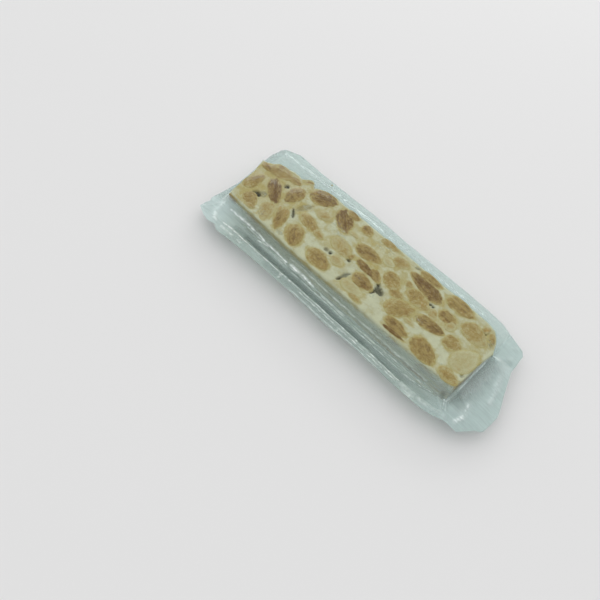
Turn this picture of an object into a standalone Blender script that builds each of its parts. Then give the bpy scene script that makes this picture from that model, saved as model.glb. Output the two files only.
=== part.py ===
"""Almond nougat bar in a clear vacuum pouch, as one closed solid of the pouch's outer shape.

The slab inside is a straight bar with a broken far corner, a rounded near corner and two ends
that were cut a little out of square. The film lies tight on its top and its underside. From the
slab's edges it falls away in a hollow web with lengthwise folds, and the two films meet in a
flat welded seam that stands out all round at mid-height.

+X runs along the bar, +Y across it and +Z up. The origin is the middle of the pouch's
footprint, on the surface that it lies on. All sizes are in metres.
"""

import math

import bmesh
import bpy
from mathutils import Vector, noise
from mathutils.geometry import intersect_line_line_2d

MM = 0.001

# The slab of nougat
SLAB_LENGTH = 168.5 * MM
SLAB_WIDTH = 44.0 * MM
SLAB_HEIGHT = 19.2 * MM
NEAR_SKEW = 1.4 * MM  # how far the near end's back corner leads its middle
FAR_SKEW = -2.9 * MM  # the same at the far end
TOP_SWELL = 0.35 * MM  # nuts standing under the film
SWELL_SPACING = 14.0 * MM

# Back edge of the slab's top, far end to near end: the broken corner with its crumb, the long
# straight edge, and the rounded corner.
BACK_EDGE = (
    (-85.0 * MM, 10.0 * MM),
    (-78.0 * MM, 15.0 * MM),
    (-58.0 * MM, 16.5 * MM),
    (-55.0 * MM, 20.0 * MM),
    (-50.0 * MM, 18.0 * MM),
    (-44.0 * MM, 22.0 * MM),
    (70.0 * MM, 22.0 * MM),
    (79.0 * MM, 20.0 * MM),
    (83.0 * MM, 14.0 * MM),
    (85.0 * MM, 8.0 * MM),
)
UNDERSIDE_BREAK = 0.45  # share of the broken corner's depth that reaches the underside

# The outer edge of the seam, measured from the middle of the slab, anticlockwise from the near
# end's back corner.
SEAM_EDGE = (
    (94.0 * MM, 31.0 * MM),
    (80.0 * MM, 34.8 * MM),
    (40.0 * MM, 36.4 * MM),
    (-20.0 * MM, 36.8 * MM),
    (-80.0 * MM, 37.5 * MM),
    (-91.0 * MM, 35.0 * MM),
    (-93.5 * MM, 27.0 * MM),
    (-93.0 * MM, 0.0 * MM),
    (-90.5 * MM, -28.0 * MM),
    (-91.5 * MM, -34.0 * MM),
    (-82.0 * MM, -39.0 * MM),
    (-30.0 * MM, -38.2 * MM),
    (40.0 * MM, -37.6 * MM),
    (80.0 * MM, -36.6 * MM),
    (95.0 * MM, -33.4 * MM),
    (104.5 * MM, -26.0 * MM),
    (107.0 * MM, -15.0 * MM),
    (104.0 * MM, 0.0 * MM),
    (98.5 * MM, 17.0 * MM),
    (97.5 * MM, 27.0 * MM),
)

# The film between the slab and the seam's edge
SEAM_HEIGHT = 9.6 * MM
SEAM_THICKNESS = 0.9 * MM
FAR_DROOP = 4.5 * MM  # how far the far flap hangs below the rest of the seam
WEB_SHARE_SIDES = 0.34  # share of the overhang that the hollow web takes, before the flat seam
WEB_SHARE_ENDS = 0.90
WEB_HOLLOW = 1.8  # exponent of the web's fall: 1 is a straight slope
FOLD_COUNT = 4.0  # lengthwise folds across the front web
FOLD_HEIGHT = 0.75 * MM
PLEAT_LENGTH = 8.0 * MM  # from one corner pleat to the next
PLEAT_HEIGHT = 0.9 * MM
SEAM_WAVE = 0.8 * MM
SEAM_WAVE_LENGTH = 30.0 * MM

# How finely the solid is cut
CELL = 3.4 * MM
RINGS = 10  # in each film, from the slab's edge to the seam's edge
RING_CROWDING = 1.35  # exponent that gathers the rings next to the slab

FILM_COLOUR = (0.55, 0.66, 0.65, 1.0)
FILM_ROUGHNESS = 0.12


def clamp(value, low, high):
    return max(low, min(high, value))


def along(points, x):
    """Height at x of the open line through points, which run in order of x."""
    for (x0, y0), (x1, y1) in zip(points, points[1:]):
        if x <= x1:
            return y0 + (y1 - y0) * clamp((x - x0) / (x1 - x0), 0.0, 1.0)
    return points[-1][1]


def slab_point(u, v, break_share):
    """Point of the slab's outline for a place (u, v) on the plain rectangle."""
    half_length, half_width = SLAB_LENGTH / 2, SLAB_WIDTH / 2
    skew = NEAR_SKEW if u > 0 else FAR_SKEW
    x = u + skew * (v / half_width) * (abs(u) / half_length) ** 4
    y = v
    if v > 0:
        edge = half_width + (along(BACK_EDGE, x) - half_width) * break_share
        y = v * edge / half_width
    return Vector((x, y))


def seam_point(u, v):
    """Where the line from the slab's spine through (u, v) meets the seam's outer edge."""
    spine_end = (SLAB_LENGTH - SLAB_WIDTH) / 2
    spine = Vector((clamp(u, -spine_end, spine_end), 0.0))
    ray = (Vector((u, v)) - spine).normalized() * SLAB_LENGTH
    corners = [Vector(p) for p in SEAM_EDGE]
    for start, stop in zip(corners, corners[1:] + corners[:1]):
        hit = intersect_line_line_2d(spine, spine + ray, start, stop)
        if hit:
            return hit
    raise ValueError(f"the seam's edge is open at {u:.4f}, {v:.4f}")


def end_share(u, v):
    """0 along the long sides, 1 on the ends, and a smooth change round the corners."""
    spine_end = (SLAB_LENGTH - SLAB_WIDTH) / 2
    past = max(abs(u) - spine_end, 0.0)
    angle = math.atan2(past, abs(v))
    share = clamp((angle - math.pi / 8) / (math.pi / 4), 0.0, 1.0)
    return share * share * (3 - 2 * share)


def corner_share(u, v):
    """1 at the slab's four corners, 0 half a width away from them."""
    distance = math.hypot(SLAB_LENGTH / 2 - abs(u), SLAB_WIDTH / 2 - abs(v))
    return clamp(1 - distance / (SLAB_WIDTH / 2), 0.0, 1.0)


def web_fall(u, v, share):
    """1 at the slab's edge, falling to 0 where the flat seam starts."""
    ends = end_share(u, v)
    web = WEB_SHARE_SIDES + (WEB_SHARE_ENDS - WEB_SHARE_SIDES) * ends
    return clamp(1 - share / web, 0.0, 1.0) ** WEB_HOLLOW


def wrinkle(u, v, share):
    """Height of the film's folds, pleats and waves above its plain surface."""
    ripple = noise.noise(Vector((u, v, 0.0)) / SEAM_WAVE_LENGTH)
    height = SEAM_WAVE * ripple * share
    between = math.sin(math.pi * clamp(share, 0.0, 1.0))
    if v < 0:
        drift = 0.06 * noise.noise(Vector((u / SEAM_WAVE_LENGTH, 3.0, 0.0)))
        folds = math.sin(2 * math.pi * FOLD_COUNT * (share + drift))
        height += FOLD_HEIGHT * folds * between * (1 - end_share(u, v))
    pleats = math.sin(2 * math.pi * (u + v) / PLEAT_LENGTH)
    return height + PLEAT_HEIGHT * pleats * between * corner_share(u, v)


def seam_height(u, v, share):
    """Height of the middle of the seam, which droops at the far end."""
    droop = FAR_DROOP * end_share(u, v) * share if u < 0 else 0.0
    return SEAM_HEIGHT - droop


def top_swell(x, y):
    """Height of the nuts and hollows under the film on the slab's top."""
    return TOP_SWELL * noise.noise(Vector((x, y, 0.0)) / SWELL_SPACING)


def film_ring(bm, rim, share, upper):
    """One ring of corners round the slab, a share of the way out to the seam's edge."""
    ring = []
    for u, v in rim:
        start = slab_point(u, v, 1.0 if upper else UNDERSIDE_BREAK)
        place = start.lerp(seam_point(u, v), share)
        middle = seam_height(u, v, share)
        fall = web_fall(u, v, share)
        if upper:
            floor = middle + SEAM_THICKNESS / 2
            z = floor + (SLAB_HEIGHT - floor) * fall + wrinkle(u, v, share)
        else:
            ceiling = middle - SEAM_THICKNESS / 2
            z = ceiling * (1 - fall) + wrinkle(u, v, share) * (1 - fall)
        ring.append(bm.verts.new((place.x, place.y, z)))
    return ring


def bridge(bm, inner, outer):
    """Faces between two rings that have the same number of corners."""
    count = len(inner)
    for i in range(count):
        j = (i + 1) % count
        bm.faces.new((inner[i], outer[i], outer[j], inner[j]))


def add_top(bm):
    """The film on the slab's top. Returns its corners round the rim, anticlockwise."""
    columns = round(SLAB_LENGTH / CELL)
    rows = round(SLAB_WIDTH / CELL)
    grid = []
    for i in range(columns + 1):
        u = SLAB_LENGTH * (i / columns - 0.5)
        line = []
        for j in range(rows + 1):
            v = SLAB_WIDTH * (j / rows - 0.5)
            place = slab_point(u, v, 1.0)
            z = SLAB_HEIGHT + top_swell(place.x, place.y)
            line.append(((u, v), bm.verts.new((place.x, place.y, z))))
        grid.append(line)
    for left, right in zip(grid, grid[1:]):
        for j in range(rows):
            bm.faces.new((left[j][1], right[j][1], right[j + 1][1], left[j + 1][1]))
    rim = [line[0] for line in grid]
    rim += grid[-1][1:]
    rim += [line[-1] for line in reversed(grid[:-1])]
    rim += list(reversed(grid[0][1:-1]))
    return [place for place, _ in rim], [corner for _, corner in rim]


def make_pouch():
    """The pouch's outer shape: top, upper film, lower film and flat underside."""
    bm = bmesh.new()
    rim, inner = add_top(bm)
    shares = [(step / RINGS) ** RING_CROWDING for step in range(RINGS + 1)]
    for share in shares[1:]:
        outer = film_ring(bm, rim, share, upper=True)
        bridge(bm, inner, outer)
        inner = outer
    for share in reversed(shares):
        outer = film_ring(bm, rim, share, upper=False)
        bridge(bm, inner, outer)
        inner = outer
    bm.faces.new(reversed(inner))
    return bm


def stand_on_origin(bm):
    """Moves the shape so that the origin is the bottom centre of its box."""
    low = Vector([min(v.co[i] for v in bm.verts) for i in range(3)])
    high = Vector([max(v.co[i] for v in bm.verts) for i in range(3)])
    base = Vector(((low.x + high.x) / 2, (low.y + high.y) / 2, low.z))
    bmesh.ops.translate(bm, vec=-base, verts=bm.verts)


def film_material():
    material = bpy.data.materials.new("clear_film")
    material.use_nodes = True
    shader = material.node_tree.nodes["Principled BSDF"]
    shader.inputs["Base Color"].default_value = FILM_COLOUR
    shader.inputs["Roughness"].default_value = FILM_ROUGHNESS
    shader.inputs["Metallic"].default_value = 0.0
    return material


def main():
    for thing in list(bpy.data.objects):
        bpy.data.objects.remove(thing, do_unlink=True)
    collection = bpy.data.collections.new("nougat_bar")
    bpy.context.scene.collection.children.link(collection)

    bm = make_pouch()
    stand_on_origin(bm)
    mesh = bpy.data.meshes.new("sealed_bar")
    bm.to_mesh(mesh)
    bm.free()
    mesh.materials.append(film_material())

    pouch = bpy.data.objects.new("sealed_bar", mesh)
    collection.objects.link(pouch)


main()
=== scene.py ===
import math
import random

import bmesh
import bpy
import numpy as np
from bpy.props import FloatProperty, FloatVectorProperty, PointerProperty
from bpy.types import Operator, Panel, PropertyGroup
from mathutils import Matrix, Vector, noise
from mathutils.bvhtree import BVHTree


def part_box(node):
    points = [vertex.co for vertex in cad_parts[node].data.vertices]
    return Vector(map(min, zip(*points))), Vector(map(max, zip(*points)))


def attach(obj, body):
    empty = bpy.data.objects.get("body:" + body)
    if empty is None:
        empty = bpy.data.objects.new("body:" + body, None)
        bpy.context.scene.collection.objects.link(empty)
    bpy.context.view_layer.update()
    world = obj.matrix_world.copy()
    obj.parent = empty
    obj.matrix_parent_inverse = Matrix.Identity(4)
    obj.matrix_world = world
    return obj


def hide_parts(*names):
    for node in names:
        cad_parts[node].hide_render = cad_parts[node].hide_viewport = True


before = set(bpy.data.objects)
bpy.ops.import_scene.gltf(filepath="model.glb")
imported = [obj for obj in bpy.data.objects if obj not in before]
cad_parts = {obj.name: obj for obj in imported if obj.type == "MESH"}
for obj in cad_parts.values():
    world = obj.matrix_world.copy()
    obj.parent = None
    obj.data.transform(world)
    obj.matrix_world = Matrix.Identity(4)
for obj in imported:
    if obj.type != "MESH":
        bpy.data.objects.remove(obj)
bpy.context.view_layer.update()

bl_info = {
    "name": "Nougat Bar",
    "version": (1, 0, 0),
    "blender": (4, 5, 0),
    "location": "View3D > Sidebar > Nougat",
    "description": "Almond nougat bar in a clear vacuum pouch, with a plain studio stage",
    "category": "Add Mesh",
}

# Pieces are shaped in millimetres, from the middle of the slab and up from the surface that the
# pouch lies on. finish_piece() turns them into metres and puts them where the sealed bar's box in model.glb
# says.
MM = 0.001
BODY = "root"
NODE = "sealed_bar"
POUCH_LOW, POUCH_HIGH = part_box(NODE)
FAR_REACH = 93.49  # from the slab's middle to the far edge of the seam
BACK_REACH = 37.46  # from the slab's middle to the back edge of the seam
MIDDLE = Vector((POUCH_LOW[0] + FAR_REACH * MM, POUCH_HIGH[1] - BACK_REACH * MM, POUCH_LOW[2]))

BASE_GAP = 0.2  # from the surface that the pouch lies on to the slab's underside
FAR_FROM_NUTS = 9.0  # beyond this no nut stains the nougat
SIDE_RISE = 0.08  # how far nuts stand out of the sides and the underside
SMALLEST_PROUD, PROUD_STEP, PROUD_STEPS = 0.06, 0.01, 9  # nuts past an edge differ, so none lie level
FILM_CELL = 0.85  # width of the film's cells over the slab
FLAP_CELLS = 46  # cells from the slab's edge to the edge of the seam
FLAP_CROWDING = 1.25  # above 1 they are narrower beside the slab
SETTLING_PASSES = 40  # rounds of drawing the film tight over the nuts
LEAST_HAZE = 0.003
# Painted shade: the dark colour that the nougat's hollows are painted towards.
PAINTED_SHADE_COLOUR = (0.050, 0.046, 0.026)

# The stage, in metres, and the camera's place in millimetres from the middle of the slab.
FLOOR_HALF, FLOOR_GAP = 3.0, 0.0001
STRIP_PLACE, STRIP_SIZE = (-0.33, 0.85, 0.42), (1.0, 0.12)
BRIGHT_SIDE = (-0.55, 0.45, 0.70)
CAMERA_PLACE = (87.603, -169.292, 277.883)
CAMERA_RIGHT = (0.70409, 0.70337, 0.09759)
CAMERA_UP = (-0.64340, 0.57374, 0.50680)
CAMERA_BACK = (0.30048, -0.41963, 0.85652)

# ---------------------------------------------------------------------------------------------
# Outlines. Each is a line through a few points, in millimetres.

# Back edge of the slab's top from the far end to the near end: the broken corner with its
# crumb, the straight edge and the rounded corner.
BACK_EDGE = (
    (-85, 10.2), (-81, 12.6), (-78, 16), (-70, 17.2), (-64, 18), (-61, 16.8),
    (-59.4, 19), (-56.6, 21.2), (-53.4, 20.4), (-52, 17.6), (-49, 20), (-44, 22),
    (-38, 22.8), (-30, 22.2), (-20, 22.9), (0, 22.7), (20, 22.9), (40, 22.5),
    (58, 22.8), (73, 22.2), (78.5, 20.8), (81.8, 17.4), (84, 13), (85.4, 8),
)
# Front edge of the slab's top, from the far end to the near end.
FRONT_EDGE = (
    (-85, -18.6), (-82, -21), (-78, -21.9), (-70, -22.3), (-55, -22.8), (-35, -23.3),
    (-10, -23.3), (20, -22.9), (55, -22.6), (68, -22.1), (76, -21.4), (80, -20.7),
    (84, -18.8),
)
# Outer edge of the seam along the two long sides, as (x, y).
FRONT_SEAM = (
    (-92, -35.2), (-88.7, -36.9), (-84.4, -39), (-80, -40), (-77.2, -39.2), (-75.4, -38.7),
    (-73.4, -39.6), (-71.6, -40.8), (-66, -40.4), (-50, -39.2), (-30, -38.6), (-14, -38.1),
    (8, -38.1), (20, -38), (23, -37.4), (36, -37.2), (41, -37.6), (48, -37.2),
    (54, -37.6), (66, -37.4), (76, -37.2), (80.2, -36.5), (84, -35.7), (87, -34.3),
    (90.7, -33.3), (95.3, -33.2), (97.2, -32.9),
)
BACK_SEAM = (
    (-93.8, 33), (-86, 35.2), (-81, 37.2), (-60, 36.7), (-20, 36.9), (20, 36),
    (60, 35.6), (72, 35), (79, 34.2), (87.6, 31.4), (91.6, 30.4), (95.2, 29.7),
)
# Outer edge of the seam at the two ends, as (y, x).
NEAR_SEAM = (
    (-32.9, 97.2), (-28.9, 100.5), (-26.4, 102.6), (-24.6, 104.6), (-23.3, 106.5), (-17.9, 107),
    (-11.4, 107.4), (-8.2, 106.4), (-3.3, 104.6), (2.2, 102.4), (9.4, 99.8), (14.6, 98),
    (18.8, 98), (23.4, 97.5), (27.5, 97.4), (29.7, 95.2),
)
FAR_SEAM = (
    (-35.2, -92), (-30, -91.7), (-27.9, -90.7), (-26.6, -92.4), (-14, -91.2), (-4.5, -91),
    (6, -92.2), (17, -94), (26, -94.6), (33, -93.8),
)
# Hollows in the slab's top, as (x, y, length, width, turn in degrees, depth, darkness of the painted
# shade).
HOLLOWS = (
    (-70.4, -10.6, 5.6, 4, 5, 2.8, 1),
    (-67.6, -8.4, 5.4, 4.6, 30, 0.9, 0.35),
    (-62.7, 6.3, 3, 3.2, 0, 2.4, 1),
    (-46.2, -4.9, 7.6, 1.7, -50, 1.4, 0.85),
    (-44.8, 2.6, 11, 4.6, 62, 0.5, 0.30),
    (-16.5, -8.8, 3.2, 2.8, 0, 0.9, 0.55),
    (-13.4, -8.6, 2.3, 2.3, 0, 1.6, 0.9),
    (2, -14, 9, 2.8, 75, 0.9, 0.60),
    (1, -17.4, 3.4, 1.9, 62, 1.4, 0.85),
    (-3.2, -4.6, 3, 2.2, -20, 1.2, 0.75),
    (20.9, -7, 6.6, 4.2, -20, 2.2, 0.85),
    (18.9, -9.2, 5.4, 2.2, 75, 1.8, 0.85),
    (18.6, -4.8, 5, 2, -50, 1.6, 0.85),
    (44.9, 7.3, 1.6, 1.8, 0, 1.2, 1),
    (46.8, 7.6, 1.8, 1.8, 0, 1.4, 1),
    (26.2, 20.4, 6, 0.9, 18, 0.9, 0.55),
    (45.4, -3.9, 2.2, 1.9, 35, 1, 0.9),
    (49, -5.6, 4.4, 2.2, -15, 0.7, 0.45),
    (81.4, -13, 3, 2, -30, 0.8, 0.40),
    (76.2, 15.4, 3.4, 1.1, 70, 0.8, 0.55),
    (79.6, 16.6, 3.4, 1.6, -40, 0.5, 0.35),
    (81.6, 12, 4, 2, -70, 0.4, 0.25),
    (-41.5, -20.3, 5, 2.6, 10, 0.5, 0.15),
)
# Places where honey has soaked the nougat, as (x, y, length, width, turn, strength).
HONEY = (
    (-73, 2, 46, 64, 0, 0.92),
    (-38, 17, 60, 26, 0, 0.65),
    (6, 15, 56, 26, 0, 0.65),
    (36, 6, 44, 18, -10, 0.50),
    (-24, -2, 30, 16, -15, 0.35),
    (10, -17, 30, 12, 0, 0.55),
    (76, 6, 24, 44, 0, 0.30),
    (-50, -14, 30, 20, 0, 0.30),
    (79, 14, 11, 10, 0, 0.90),
    (-47, 1, 17, 15, 0, 0.85),
    (9, 3, 20, 8, 0, 0.85),
    (55, 3.2, 16, 9, 0, 0.85),
)
# Places where the film stands off the nougat and looks milky, as (x, y, length, width, turn).
AIR_POCKETS = (
    (-21, 6.5, 22, 9, -25), (5, 16.5, 20, 7, 5), (47.5, -4, 8, 5, -10),
    (7.6, -9.4, 7, 7, 0), (20.4, -12, 7, 3.6, 20), (81, 12, 6, 8, 20),
    (-44.4, 3.4, 9, 5, 65), (-67.6, -8, 5, 4, 0), (-42, -20, 9, 5, 0),
    (69.8, -15, 5, 3, 0), (-60, -18, 12, 7, 0),
)

# Nuts in the slab's top, as (x, y, length, width, turn in degrees, darkness, roughness).
# Darkness runs from 0, blanched, to 1, burnt; a rough nut is broken or wrinkled.
TAN_NUTS = (
    (-72.6, 11.4, 16, 10, 8, 0.60, 0.3),
    (-78.5, -5.3, 15, 8.2, 82, 0.54, 0.3),
    (-69.8, -16.2, 11.6, 8.4, -28, 0.57, 0.4),
    (-57.5, -15.3, 13.8, 9, -62, 0.34, 0.2),
    (-36, -2.5, 15, 7.4, -15, 0.50, 0.4),
    (-26.5, -4.6, 8, 4.4, -12, 0.40, 0.3),
    (-9.6, 18.2, 8.4, 6.6, -20, 0.60, 0.2),
    (5.5, 20.6, 13, 4.6, 0, 0.44, 0.3),
    (17.6, 16, 10, 7, 0, 0.44, 0.2),
    (-12, -1.3, 15.8, 9, -15, 0.32, 0.3),
    (21.8, 3, 13.4, 9.2, -33, 0.50, 0.3),
    (38.5, 4.7, 16.8, 9, -9, 0.44, 0.4),
    (72, 10.6, 16, 11, -12, 0.40, 0.3),
    (67, -2.4, 10.4, 8.6, 10, 0.48, 0.2),
    (35, -7.3, 16.8, 10.6, 36, 0.50, 0.3),
    (77.4, -5.8, 17.6, 12.4, 68, 0.13, 0),
    (76.2, -18.2, 12, 6.6, -5, 0.46, 0.4),
    (28.3, -1.3, 8.4, 5, 0, 0.52, 0.3),
)
BROWN_NUTS = (
    (-54.9, 5.3, 14.8, 9.6, -95, 0.74, 0.2),
    (-81, 8, 9, 4.8, -10, 0.64, 0.3),
    (-62.4, 13, 8.4, 5, 5, 0.64, 0.4),
    (-48.6, -12.4, 16.6, 7.6, -68, 0.62, 0.4),
    (-35.1, -15, 15.6, 11.2, -50, 0.64, 0.56),
    (-22.6, 20, 9.6, 5.4, 0, 0.62, 0.3),
    (1, 6.8, 17, 9, 4, 0.66, 0.2),
    (-15.4, -16.9, 16.8, 10, -8, 0.58, 0.5),
    (57, 18.3, 18, 9, 0, 0.58, 0.4),
    (56.4, 7.8, 11.6, 7.2, 0, 0.66, 0.2),
    (52.4, -2.7, 17.2, 7.8, 6, 0.70, 0.6),
    (59, -16.7, 17.8, 11, -16, 0.64, 0.3),
    (35.6, 20.2, 15, 5.2, 0, 0.60, 0.3),
    (13.4, -1.2, 9.6, 5.8, -25, 0.66, 0.4),
    (-3.8, -2, 4, 2.8, 70, 0.60, 0.3),
)
DARK_NUTS = (
    (-65.1, -1.2, 20.4, 8.6, -42, 0.86, 0.8),
    (-42, 16.2, 17.8, 11.2, 20, 0.78, 0.6),
    (-23.2, 14, 18, 10.6, -45, 0.84, 0.7),
    (6.4, -1.6, 14.6, 4.8, -9, 0.88, 0.5),
    (11, -9.4, 13.8, 8.4, -5, 0.74, 0.55),
    (37.4, 13.9, 24, 8.8, 171, 0.88, 0.3),
    (40.8, -16.7, 15, 7.2, -4, 0.67, 0.45),
    (42, -20.4, 13.6, 2.4, 3, 1.00, 0.2),
)
PALE_NUTS = (
    (-33.3, 7.2, 10, 6, 0, 0.30, 0.2),
    (-7.4, -9.9, 8, 6, 0, 0.26, 0.2),
    (9.6, -16.8, 15.4, 6.8, 0, 0.16, 0.2),
    (14.6, -19.9, 8, 3.2, 0, 0.40, 0.2),
    (-53.4, -8.6, 6, 3.2, -70, 0.30, 0.3),
    (12.6, 11, 8, 5, 0, 0.10, 0.3),
    (29.4, 8.4, 5.4, 4, -20, 0.46, 0.4),
    (49.6, 3.6, 7, 5, -40, 0.32, 0.3),
    (60.6, 4.8, 5, 7, 0, 0.24, 0.3),
    (43.4, -9.4, 6.4, 2.6, 0, 0.20, 0.5),
    (75, 17.4, 5, 4, 70, 0.36, 0.4),
    (-13, 10.6, 7, 3, 0, 0.22, 0.4),
    (-66.4, -19.6, 6, 3.4, 10, 0.34, 0.5),
    (-56.6, 18.6, 6, 4.2, 30, 0.26, 0.8),
    (80.2, 15.6, 6.4, 4.6, -50, 0.44, 0.5),
)
NUT_KINDS = {"tan": TAN_NUTS, "brown": BROWN_NUTS, "dark": DARK_NUTS, "pale": PALE_NUTS}

# Creases in the slack film, as (height, half width, strength of the painted highlight, points from end to
# end).
# A negative height is a trough.
CREASES = (
    # on the wall and at its root, front side
    (0, 0.16, 0.45, (-28, -24.6), (1, -24.6), (31, -24.4), (52, -24.3), (70, -24.1)),
    (0, 0.36, 0.84, (-76, -25.1), (-69, -24.8), (-59, -25), (-50, -25.3), (-43, -25.9)),
    (0.1, 0.26, 0.40, (-61, -26.1), (-56, -26.3), (-52, -26)),
    (0.1, 0.30, 0.60, (-51.5, -26.6), (-48.5, -26.1), (-46.5, -26.9), (-43.5, -26.6)),
    (0.1, 0.28, 0.42, (-37, -27.3), (-31, -27.2), (-27, -27.6)),
    (0, 0.42, 0.70, (-67, -24.8), (-64.5, -24.8)),
    (0, 0.42, 0.76, (-43, -25.8), (-38, -26), (-33, -26.2), (-29, -26.3)),
    (0.3, 0.58, 0.84, (-26, -26.1), (-20, -26.2), (-12, -26.3), (-8, -26.7)),
    (0.2, 0.40, 0.36, (-8, -26.8), (4, -27), (16, -26.8)),
    (0.1, 0.24, 0.34, (-25, -27.4), (-17, -27.5), (-10, -27.7)),
    (0.2, 0.55, 0.55, (-50, -28.5), (-47.5, -27.4), (-44, -27)),
    (0.2, 0.50, 0.30, (-40, -28.4), (-34, -27.8), (-30, -28.6)),
    (0.1, 0.35, 0.40, (-1, -27.7), (8, -27.6), (16, -27.6)),
    (0.1, 0.40, 0.36, (25, -27.6), (36, -27.2), (46, -26.9)),
    (0.1, 0.35, 0.36, (47, -26.5), (58, -26.7), (70, -26.3)),
    # second lengthwise fold and the dark trough outside it
    (0.6, 0.35, 0.48, (-22, -29.1), (-8, -29), (12, -28.9), (34, -29.1), (58, -29.1), (68, -28.6),
     (72, -27.7), (76, -26.5)),
    (-0.7, 1.40, 0.00, (-64, -31.2), (-40, -31.3), (0, -31.1), (34, -31.2), (60, -31.4)),
    # the weld's inner edge and the lines in it
    (0.7, 0.38, 0.95, (-72, -34.4), (-66, -33.8), (-50, -34), (-33, -33.8), (-14, -33.4)),
    (0.6, 0.38, 0.62, (-14, -33.4), (4, -33.2), (20, -33.1), (34, -33.4), (60, -33.8)),
    (0.3, 0.35, 0.55, (-11, -34.9), (10, -34.6), (34, -34.9), (58, -35.2)),
    (0.2, 0.35, 0.45, (-16, -37.3), (8, -37.3), (30, -36.9), (50, -36.9)),
    (0.2, 0.80, 0.60, (-71, -36.9), (-66, -37.1)),
    (0.2, 0.70, 0.60, (-64.5, -36.9), (-62.5, -36.9)),
    (0.2, 0.60, 0.65, (-57.5, -36.8), (-55.5, -36.9)),
    (0.3, 0.60, 0.70, (-25.2, -34.4), (-24.8, -36.4)),
    (0.3, 0.60, 0.45, (19, -34.8), (19.6, -36.8)),
    (0.2, 0.80, 0.50, (64, -36), (69, -36.3)),
    (0.5, 1.40, 0.30, (62, -34.4), (70, -34.6)),
    (0.7, 1.40, 0.30, (74, -33.8), (80, -33.2), (85, -32.2)),
    # far corner's ear
    (0.8, 1.30, 0.16, (-82.4, -25), (-82.4, -28), (-81.4, -32), (-79.6, -34.8), (-76.6, -36.6)),
    (0.2, 0.80, 0.50, (-80.6, -33.2), (-79.8, -34.6)),
    (0.2, 0.60, 0.60, (-78.6, -36.1), (-76.4, -36.4)),
    (0.5, 0.80, 0.07, (-90.4, -34.4), (-87, -31), (-84.6, -26)),
    (0.5, 1.00, 0.06, (-90.4, -22), (-88.4, -19), (-87.2, -14)),
    # near corner at the front
    (0.3, 0.30, 0.55, (82.8, -24.8), (85.2, -29)),
    (0.3, 0.30, 0.42, (83.9, -24.8), (86.6, -28.8)),
    (0.6, 1.00, 0.15, (80.4, -25.6), (84, -29.4), (87.6, -32.4)),
    (-0.4, 0.50, 0.00, (86, -26), (90.6, -32.4)),
    # near end
    (0, 0.30, 0.30, (85.4, 4), (85.2, -6), (85.1, -14), (84.8, -21), (83.9, -25)),
    (0.9, 1.70, 0.20, (96.2, 5), (98.6, -4.2), (99.8, -8.6)),
    (0.3, 0.70, 0.40, (93.1, -18.6), (93.8, -22.6)),
    (0.6, 1.10, 0.60, (94.8, -25.8), (93.4, -29.4)),
    (0.3, 2.20, 0.12, (93.2, -19), (94.6, -25)),
    # near corner at the back
    (0.3, 1.80, 0.08, (86.4, 12), (90, 16.6), (94.4, 21.4)),
    (0.3, 1.20, 0.06, (90.2, 26), (93, 28.2)),
    # back flange
    (0.4, 1.60, 0.10, (-82, 30.4), (-50, 31), (-10, 30.2), (30, 30.8), (70, 29.6)),
    (-0.3, 1.20, 0.00, (-78, 33.2), (-30, 33.6), (20, 32.8), (66, 32.4)),
    (0.4, 3.00, 0.12, (-87, 29), (-80, 28.4), (-70, 30)),
)
# Painted shade: dark places where the film lies double and where shadow below shows through it, as
# (strength, half width, points from end to end).
PAINTED_SHADES = (
    (0.50, 1.30, (-65, -31.1), (-55, -31.2)),
    (0.95, 1.55, (-56, -31.2), (-34, -31.2), (0, -31.1), (34, -31.2)),
    (0.62, 1.45, (34, -31.2), (64, -31.4)),
    (0.34, 1.50, (64, -31.4), (76, -31)),
    (0.50, 0.35, (30, -29.8), (60, -29.9), (68, -29.4), (75, -27.2)),
    (0.45, 1.10, (-25, -28.6), (-9, -28.8)),
    (0.45, 0.90, (-60, -27.8), (-48, -29.2)),
    (0.60, 1.40, (80.4, -24), (80.7, -24.8)),
    (0.40, 2.00, (-36, -35.9), (-16, -35.7), (32, -35.9)),
    (0.30, 1.80, (90.4, 13.6), (95, 17.6)),
    (0.20, 2.60, (-90, -30), (-85, -34.5)),
    (0.14, 2.20, (-88, -20), (-87, -28)),
    (0.22, 2.20, (34, -36), (62, -36.2)),
)


def clamp(value, low, high):
    return max(low, min(high, value))


def ease(low, high, value):
    """0 below low, 1 above high, and a smooth change between."""
    share = clamp((value - low) / (high - low), 0.0, 1.0)
    return share * share * (3 - 2 * share)


def along(points, place):
    """Height at place of the open line through points, which run in order."""
    for (x0, y0), (x1, y1) in zip(points, points[1:]):
        if place <= x1:
            return y0 + (y1 - y0) * clamp((place - x0) / (x1 - x0), 0.0, 1.0)
    return points[-1][1]


def smooth_along(points, place, reach=0.8):
    """The same line with its corners rounded over reach on both sides."""
    steps = (-1.0, -0.5, 0.0, 0.5, 1.0)
    return sum(along(points, place + reach * step) for step in steps) / len(steps)


def wander(place, spacing, seed=0.0):
    """Smooth noise from -1 to 1 whose lumps are about spacing apart."""
    x, y, z = place
    return noise.noise(Vector((x, y, z)) / spacing + Vector((seed, seed * 1.7, -seed)))


# ---------------------------------------------------------------------------------------------
# Settings that a user would change


def length_of(name, description, default):
    return FloatProperty(name=name, description=description, default=default, unit="LENGTH")


def colour_of(name, description, default):
    return FloatVectorProperty(name=name, description=description, subtype="COLOR", default=default)


class NougatSlabSizes(PropertyGroup):
    length: length_of("Length", "Length of the slab", 0.1685)
    width: length_of("Width", "Width of the slab", 0.044)
    height: length_of("Height", "Height of the slab", 0.0188)
    cell: length_of("Cell", "Size of the faces of the cut surface", 0.00066)
    edge: length_of("Edge", "Radius of the slab's edges", 0.0009)
    cream: colour_of("Cream", "Colour of clean nougat", (0.585, 0.575, 0.405))
    stain: colour_of("Stain", "Colour of nougat beside the nuts", (0.455, 0.37, 0.145))


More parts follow.
